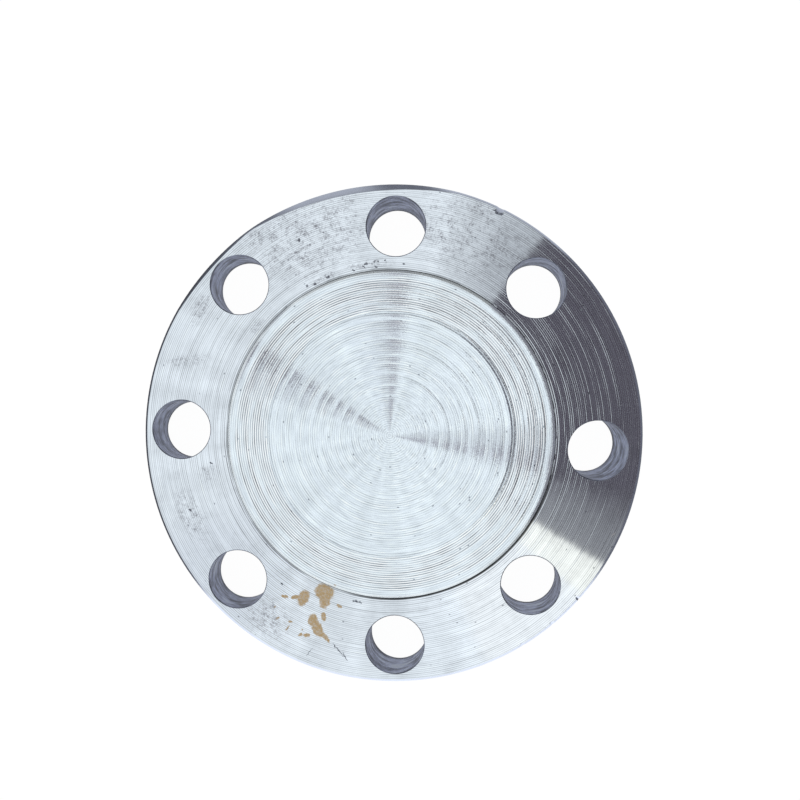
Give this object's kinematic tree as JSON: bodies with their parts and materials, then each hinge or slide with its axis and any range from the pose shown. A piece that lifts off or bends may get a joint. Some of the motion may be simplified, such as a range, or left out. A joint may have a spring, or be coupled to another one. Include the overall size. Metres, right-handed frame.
{
  "type": "raised-face blind flange",
  "caption": "Round steel blind flange with a raised sealing face, turned rings and a circle of through bolt holes.",
  "frame": {"origin": "centre of the back face, on the turning axis", "axes": "+Z along the turning axis out of the raised face, +X towards the first bolt hole, which sits 3.0 degrees clockwise of it, +Y up in the picture"},
  "size_m": [0.191, 0.191, 0.026],
  "materials": {
    "turned_steel": "turned, bright, with concentric tool marks"
  },
  "bodies": {
    "root": {"blind_flange": "turned_steel"}
  },
  "joints": []
}
